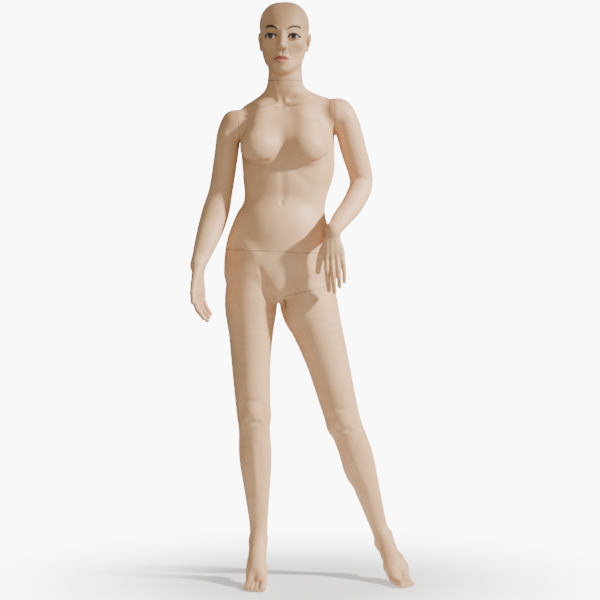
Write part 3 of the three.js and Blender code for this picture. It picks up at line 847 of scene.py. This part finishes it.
def make_left_leg(trunk):
    low, high, spacing = REGIONS["left_leg"]
    body = Solid().join(trunk).join(leg_field(LEFT_LEG, "left", -1)).join(foot_field("left"))
    feet = ((230, -110, -5), (370, 80, 70))
    made = skin("left_leg", body, low, high, spacing, fine=[feet])
    cut_block(made, "left_leg", -1)
    cut_block(made, "left_leg", 1, size=THIGH_BLOCK, shift=(INNER_THIGH + THIGH_BLOCK[0] / 2, 0))
    drop_specks(made)
    return finish_piece(made, "left_leg_shell", "left_leg")


def make_arm(side):
    low, high, spacing = REGIONS[f"{side}_arm"]
    body = arm_field(side).add(hand_root(side), 14)
    made = skin(f"{side}_arm", body, low, high, spacing)
    cut_block(made, f"{side}_shoulder", -1, size=SHOULDER_BLOCK, reach=260)
    cut_block(made, f"{side}_wrist", 1, size=WRIST_BLOCK, reach=120)
    drop_specks(made)
    return finish_piece(made, f"{side}_arm_shell", f"{side}_arm")


def make_hand(side):
    low, high, spacing = REGIONS[f"{side}_hand"]
    made = skin(f"{side}_hand_skin", hand_field(side), low, high, spacing, hollow=False)
    cut_block(made, f"{side}_wrist", -1, size=HAND_BLOCK, reach=320)
    drop_specks(made)
    return finish_piece(made, f"{side}_hand", f"{side}_hand")


# ---- paint on the face ----
def linear(*rgb):
    c = np.array(rgb, float) / 255
    return np.where(c <= 0.04045, c / 12.92, ((c + 0.055) / 1.055) ** 2.4)


def soft_step(value, edge, width):
    """1 well below the edge, 0 well above it."""
    return np.clip(0.5 - (value - edge) / width, 0, 1)


def along_line(p, line):
    """Distance in the face's plane from each point to a line of (x, z) points."""
    best = np.full(len(p), 1e3)
    line = np.array(line, float)
    for a, b in zip(line[:-1], line[1:]):
        t = np.clip(((p - a) @ (b - a)) / ((b - a) @ (b - a)), 0, 1)
        best = np.minimum(best, np.linalg.norm(p - a - t[:, None] * (b - a), axis=1))
    return best


EYE_HALF = 15.5  # half the length of an eye
UPPER_LID, LOWER_LID = 8.0, 6.6  # how far an eye opens above and below its middle
BROW = [(15, 11), (23, 17), (34, 21), (45, 21), (56, 16)]
BROW_WIDTH = [1.8, 3.2, 4.4, 4.4, 2.6]  # half width at each point


def paint_face(made):
    """Stores the paint's colour on the skin, and how much of it covers the skin."""
    p = (coordinates(made.data) - HEAD_AT) @ HEAD_TURN
    x, y, z = p.T
    colour = np.tile(linear(213, 166, 120), (len(p), 1))
    cover = np.zeros(len(p))
    front = soft_step(y, -52, 10)

    def lay(mask, rgb, amount=1.0):
        nonlocal colour, cover
        m = (mask * front * amount)[:, None]
        colour = colour * (1 - m) + linear(*rgb) * m
        cover = np.maximum(cover, m[:, 0])

    flat = np.stack([x, z], 1)
    steps = np.append(np.linspace(-1, 1, 14), 1)
    for side in (-1, 1):
        out = x * side
        u = (out - EYE) / EYE_HALF
        v = z - EYE_LEVEL
        opening = np.where(v > 0, UPPER_LID, LOWER_LID) * np.sqrt(np.clip(1 - u**2, 0, 1))
        inside = soft_step(np.abs(v) - opening, 0, 1.0) * (np.abs(u) < 1)
        lay(np.exp(-(((out - 50) / 18) ** 2 + ((z + 44) / 20) ** 2)), (196, 118, 96), 0.3)  # rouge
        lay(np.exp(-((u * 0.8 - 0.1) ** 2 + ((v - 10) / 6) ** 2)), (110, 70, 60), 0.75)  # eye shadow
        lay(np.exp(-((u * 0.95) ** 2 + ((v + 9) / 4) ** 2)), (136, 92, 74), 0.15)
        lay(inside, (186, 168, 152))
        iris = np.hypot(out - EYE, v - 1)
        lay(soft_step(iris, 7.4, 1.0) * inside, (56, 26, 18))
        lay(soft_step(iris, 3.6, 1.0) * inside, (12, 7, 6))
        arch = np.sqrt(np.clip(1 - steps**2, 0, 1))
        lash = np.stack([side * (EYE + EYE_HALF * steps), EYE_LEVEL + UPPER_LID * arch], 1)
        lash[-1] = (side * (EYE + 20), EYE_LEVEL + 3.5)
        lay(soft_step(along_line(flat, lash), 3.0, 1.2), (20, 11, 9))
        low = np.stack([side * (EYE + EYE_HALF * steps), EYE_LEVEL - LOWER_LID * arch], 1)[4:-1]
        lay(soft_step(along_line(flat, low), 1.0, 1.2), (66, 40, 32), 0.8)
        brow = [(side * x0, z0) for x0, z0 in BROW]
        width = np.interp(out, [x0 for x0, _ in BROW], BROW_WIDTH)
        lay(soft_step(along_line(flat, brow) - width, 0, 1.8), (32, 18, 13), 0.97)
        lay(soft_step(np.hypot(out - 7, (z + 51) * 1.3), 2.8, 1.4), (92, 54, 42), 0.7)  # nostril, painted shade in its hollow
        lay(np.exp(-(((out - 14) / 5) ** 2 + ((z + 30) / 16) ** 2)), (150, 104, 84), 0.25)  # painted shade at the side of the nose
    top = MOUTH + 11 - 0.019 * x**2 - 1.8 * np.exp(-((x / 3) ** 2))
    bottom = MOUTH - 14 + 0.024 * x**2
    line = MOUTH + 0.6 * np.cos(x / 6)
    wide = soft_step(np.abs(x), 23.5, 1.6)
    # lip paint, the upper lip painted darker than the lower as painted shade on a lip that faces down
    lay(soft_step(z - top, 0, 1.2) * soft_step(line - z, 0, 1.0) * wide, (150, 66, 58), 0.95)
    lay(soft_step(z - line, 0, 1.0) * soft_step(bottom - z, 0, 1.4) * wide, (188, 100, 88), 0.95)
    # painted highlight on the middle of the lower lip
    lay(np.exp(-((x / 8) ** 2 + ((z - MOUTH + 7) / 3) ** 2)), (214, 150, 134), 0.55)
    # painted shade along the line between the lips
    lay(soft_step(np.abs(z - line), 1.3, 1.0) * wide, (92, 40, 34), 0.85)
    attribute = made.data.color_attributes.new("paint", "FLOAT_COLOR", "POINT")
    painted = np.concatenate([colour, cover[:, None]], 1)
    attribute.data.foreach_set("color", painted.astype(np.float32).ravel())


# ---- materials ----
def new_material(name):
    material = bpy.data.materials.new(name)
    material.use_nodes = True
    nodes = material.node_tree.nodes
    return material, nodes, material.node_tree.links, nodes["Principled BSDF"]


def noise(nodes, links, scale, detail=3.0, stretch=None):
    """Noise in the piece's own space, in cycles per metre."""
    where = nodes.new("ShaderNodeTexCoord").outputs["Object"]
    made = nodes.new("ShaderNodeTexNoise")
    made.inputs["Scale"].default_value = scale
    made.inputs["Detail"].default_value = detail
    if stretch:
        mapping = nodes.new("ShaderNodeMapping")
        mapping.inputs["Scale"].default_value = stretch
        links.new(where, mapping.inputs["Vector"])
        where = mapping.outputs["Vector"]
    links.new(where, made.inputs["Vector"])
    return made.outputs["Fac"]


def ramp(nodes, links, source, stops):
    made = nodes.new("ShaderNodeValToRGB")
    made.color_ramp.elements[0].position, made.color_ramp.elements[-1].position = stops[0][0], stops[-1][0]
    made.color_ramp.elements[0].color = (*stops[0][1], 1)
    made.color_ramp.elements[-1].color = (*stops[-1][1], 1)
    links.new(source, made.inputs["Fac"])
    return made.outputs["Color"]


def spread(nodes, links, source, low, high):
    made = nodes.new("ShaderNodeMapRange")
    made.inputs["To Min"].default_value = low
    made.inputs["To Max"].default_value = high
    links.new(source, made.inputs["Value"])
    return made.outputs["Result"]


def bump(nodes, links, source, distance, strength, shader):
    made = nodes.new("ShaderNodeBump")
    made.inputs["Distance"].default_value = distance
    made.inputs["Strength"].default_value = strength
    links.new(source, made.inputs["Height"])
    links.new(made.outputs["Normal"], shader.inputs["Normal"])


MIX_A, MIX_B, MIX_RESULT = 6, 7, 2  # the colour sockets of a Mix node


def mixed(nodes, links, factor, a, b):
    """Colour a where the factor is 0, and b where it is 1."""
    made = nodes.new("ShaderNodeMix")
    made.data_type = "RGBA"
    links.new(factor, made.inputs["Factor"])
    links.new(a, made.inputs[MIX_A])
    links.new(b, made.inputs[MIX_B])
    return made.outputs[MIX_RESULT]


def skin_paint(face=False):
    """Sprayed semi-gloss paint: faint clouds of tone, and the fine orange peel that a spray gun leaves."""
    material, nodes, links, shader = new_material("face_paint" if face else "skin_paint")
    clouds = noise(nodes, links, 14, 4)
    tone = ramp(nodes, links, clouds, [(0.3, linear(207, 159, 113)), (0.7, linear(219, 174, 128))])
    if face:
        paint = nodes.new("ShaderNodeVertexColor")
        paint.layer_name = "paint"
        tone = mixed(nodes, links, paint.outputs["Alpha"], tone, paint.outputs["Color"])
    # darker at the seam rims: dust, and painted shade of the narrow gap between two shells
    rim = nodes.new("ShaderNodeAttribute")
    rim.attribute_name = "rim"
    seam_dust_and_shade_amount = spread(nodes, links, rim.outputs["Fac"], 0, 0.75)
    seam_dust_and_shade = ramp(nodes, links, clouds, [(0.4, linear(120, 82, 56)), (0.6, linear(150, 108, 76))])
    links.new(mixed(nodes, links, seam_dust_and_shade_amount, tone, seam_dust_and_shade), shader.inputs["Base Color"])
    links.new(spread(nodes, links, noise(nodes, links, 60, 3), 0.44, 0.6), shader.inputs["Roughness"])
    bump(nodes, links, noise(nodes, links, 900, 2), 0.0002, 0.22, shader)
    shader.inputs["Specular IOR Level"].default_value = 0.4
    return material


def board():
    """Sawn board with its grain along X."""
    material, nodes, links, shader = new_material("board")
    grain = noise(nodes, links, 90, 6, (0.12, 1, 1))
    tone = ramp(nodes, links, grain, [(0.3, linear(166, 132, 92)), (0.7, linear(212, 184, 142))])
    links.new(tone, shader.inputs["Base Color"])
    links.new(spread(nodes, links, grain, 0.6, 0.85), shader.inputs["Roughness"])
    bump(nodes, links, grain, 0.0006, 0.4, shader)
    return material


def turned_steel():
    """Bright steel with fine tool marks and a little tarnish."""
    material, nodes, links, shader = new_material("turned_steel")
    marks = noise(nodes, links, 700, 4, (0.15, 1, 1))
    tarnish = noise(nodes, links, 40, 4)
    tone = ramp(nodes, links, tarnish, [(0.3, linear(168, 170, 172)), (0.7, linear(206, 208, 210))])
    links.new(tone, shader.inputs["Base Color"])
    shader.inputs["Metallic"].default_value = 1.0
    links.new(spread(nodes, links, marks, 0.22, 0.42), shader.inputs["Roughness"])
    bump(nodes, links, marks, 0.0002, 0.3, shader)
    return material


# ---- stage ----
AIM = (0.126, -0.05, 0.778)  # the point that the camera looks at
CAMERA_REACH = 5.5
CAMERA_RISE = 0.1
PICTURE_WIDTH = 1.797  # metres across the picture at the figure
SPOTS = {  # where it stands, where it points, degrees across its cone, power in watts, size of the lamp
    "key": ((3.9, -1.6, 3.3), (0.2, -0.05, 0.68), 29, 2700, 0.12),
    "fill": ((0.5, -4.4, 1.0), (0.1, -0.05, 0.86), 26, 380, 0.8),
}
RIM_LAMP = ((1.2, 2.6, 2.4), 18, 1.2)  # where it stands, power in watts, side of the lamp
SURROUND_LIGHT, SURROUND_LOOK = 0.36, 12.0  # how strongly the surround lights, and how bright it looks
FLOOR_FADE = (0.2, 1.2)  # the floor fades into the white surround between these distances
FLOOR_SPARE = 0.5  # how far the floor runs on past its fade
FLOOR_GLOW = 0.3


def make_stage():
    """Pale floor in a white surround, a key lamp from the figure's left, and the camera at hip height."""
    bpy.ops.mesh.primitive_circle_add(
        radius=FLOOR_FADE[1] + FLOOR_SPARE, vertices=64, fill_type="NGON", location=(AIM[0], 0, cad_low[2])
    )
    floor = bpy.context.object
    floor.name = "floor"
    floor.data.materials.append(floor_material())
    surround()
    for name, settings in SPOTS.items():
        spot(name, *settings)
    lamp("rim", *RIM_LAMP)
    camera()


def surround():
    """White all round. It looks brighter than it lights, as a backdrop with lamps of its own does."""
    world = bpy.data.worlds.new("studio")
    world.use_nodes = True
    nodes, links = world.node_tree.nodes, world.node_tree.links
    backdrop = nodes.new("ShaderNodeBackground")
    backdrop.inputs["Strength"].default_value = SURROUND_LOOK
    nodes["Background"].inputs["Color"].default_value = (1, 0.98, 0.95, 1)
    nodes["Background"].inputs["Strength"].default_value = SURROUND_LIGHT
    mix = nodes.new("ShaderNodeMixShader")
    links.new(nodes.new("ShaderNodeLightPath").outputs["Is Camera Ray"], mix.inputs["Fac"])
    links.new(nodes["Background"].outputs["Background"], mix.inputs[1])
    links.new(backdrop.outputs["Background"], mix.inputs[2])
    links.new(mix.outputs["Shader"], nodes["World Output"].inputs["Surface"])
    bpy.context.scene.world = world


def floor_material():
    """White painted floor, faintly mottled, that fades out away from the figure."""
    material, nodes, links, shader = new_material("floor")
    shade = ramp(nodes, links, noise(nodes, links, 8), [(0.3, (0.9, 0.9, 0.9)), (0.7, (0.94, 0.94, 0.94))])
    links.new(shade, shader.inputs["Base Color"])
    shader.inputs["Roughness"].default_value = 0.7
    shader.inputs["Emission Color"].default_value = (1, 1, 1, 1)
    shader.inputs["Emission Strength"].default_value = FLOOR_GLOW
    length = nodes.new("ShaderNodeVectorMath")
    length.operation = "LENGTH"
    links.new(nodes.new("ShaderNodeTexCoord").outputs["Object"], length.inputs[0])
    fade = nodes.new("ShaderNodeMapRange")
    fade.interpolation_type = "SMOOTHSTEP"
    fade.inputs["From Min"].default_value, fade.inputs["From Max"].default_value = FLOOR_FADE
    fade.inputs["To Min"].default_value, fade.inputs["To Max"].default_value = 1, 0
    links.new(length.outputs["Value"], fade.inputs["Value"])
    links.new(fade.outputs["Result"], shader.inputs["Alpha"])
    return material


def aimed(name, data, at, target):
    """Stands a lamp or the camera at a place, and points it at another."""
    made = link(name, data)
    made.location = at
    made.rotation_euler = (Vector(target) - Vector(at)).to_track_quat("-Z", "Y").to_euler()
    return made


def lamp(name, at, power, size):
    data = bpy.data.lights.new(name, "AREA")
    data.energy = power
    data.size = size
    aimed(name, data, at, AIM)


def spot(name, at, target, angle, power, size):
    """A soft spot, so that the head and the feet are a little darker than the hips."""
    data = bpy.data.lights.new(name, "SPOT")
    data.energy = power
    data.shadow_soft_size = size
    data.spot_size = math.radians(angle)
    data.spot_blend = 1.0
    aimed(name, data, at, target)


def camera():
    data = bpy.data.cameras.new("camera")
    data.angle = 2 * math.atan(PICTURE_WIDTH / 2 / CAMERA_REACH)
    place = (AIM[0], AIM[1] - CAMERA_REACH, AIM[2] + CAMERA_RISE)
    bpy.context.scene.camera = aimed("camera", data, place, AIM)


def dress_fittings(materials):
    slots = {s["node"]: s["material_slot"] for s in frame["record"]["subparts"]}
    for name, node in frame["nodes"].items():
        if slots[name] in materials:
            for place in node.material_slots:
                place.link = "OBJECT"
                place.material = materials[slots[name]]


def set_material(piece, material):
    piece.data.materials.clear()
    piece.data.materials.append(material)


trunk = trunk_detail(trunk_field())
upper = Solid().join(trunk).add(neck_field(), 10).join(head_field())
skin_pieces = [make_torso(upper), make_hips(trunk), make_left_leg(trunk)]
skin_pieces += [make_arm(side) for side in ("left", "right")]
skin_pieces += [make_hand(side) for side in ("left", "right")]
plain = skin_paint()
for piece in skin_pieces:
    set_material(piece, plain)
head = make_head(upper)
set_material(head, skin_paint(face=True))
dress_fittings({"board": board(), "steel": turned_steel()})
make_stage()
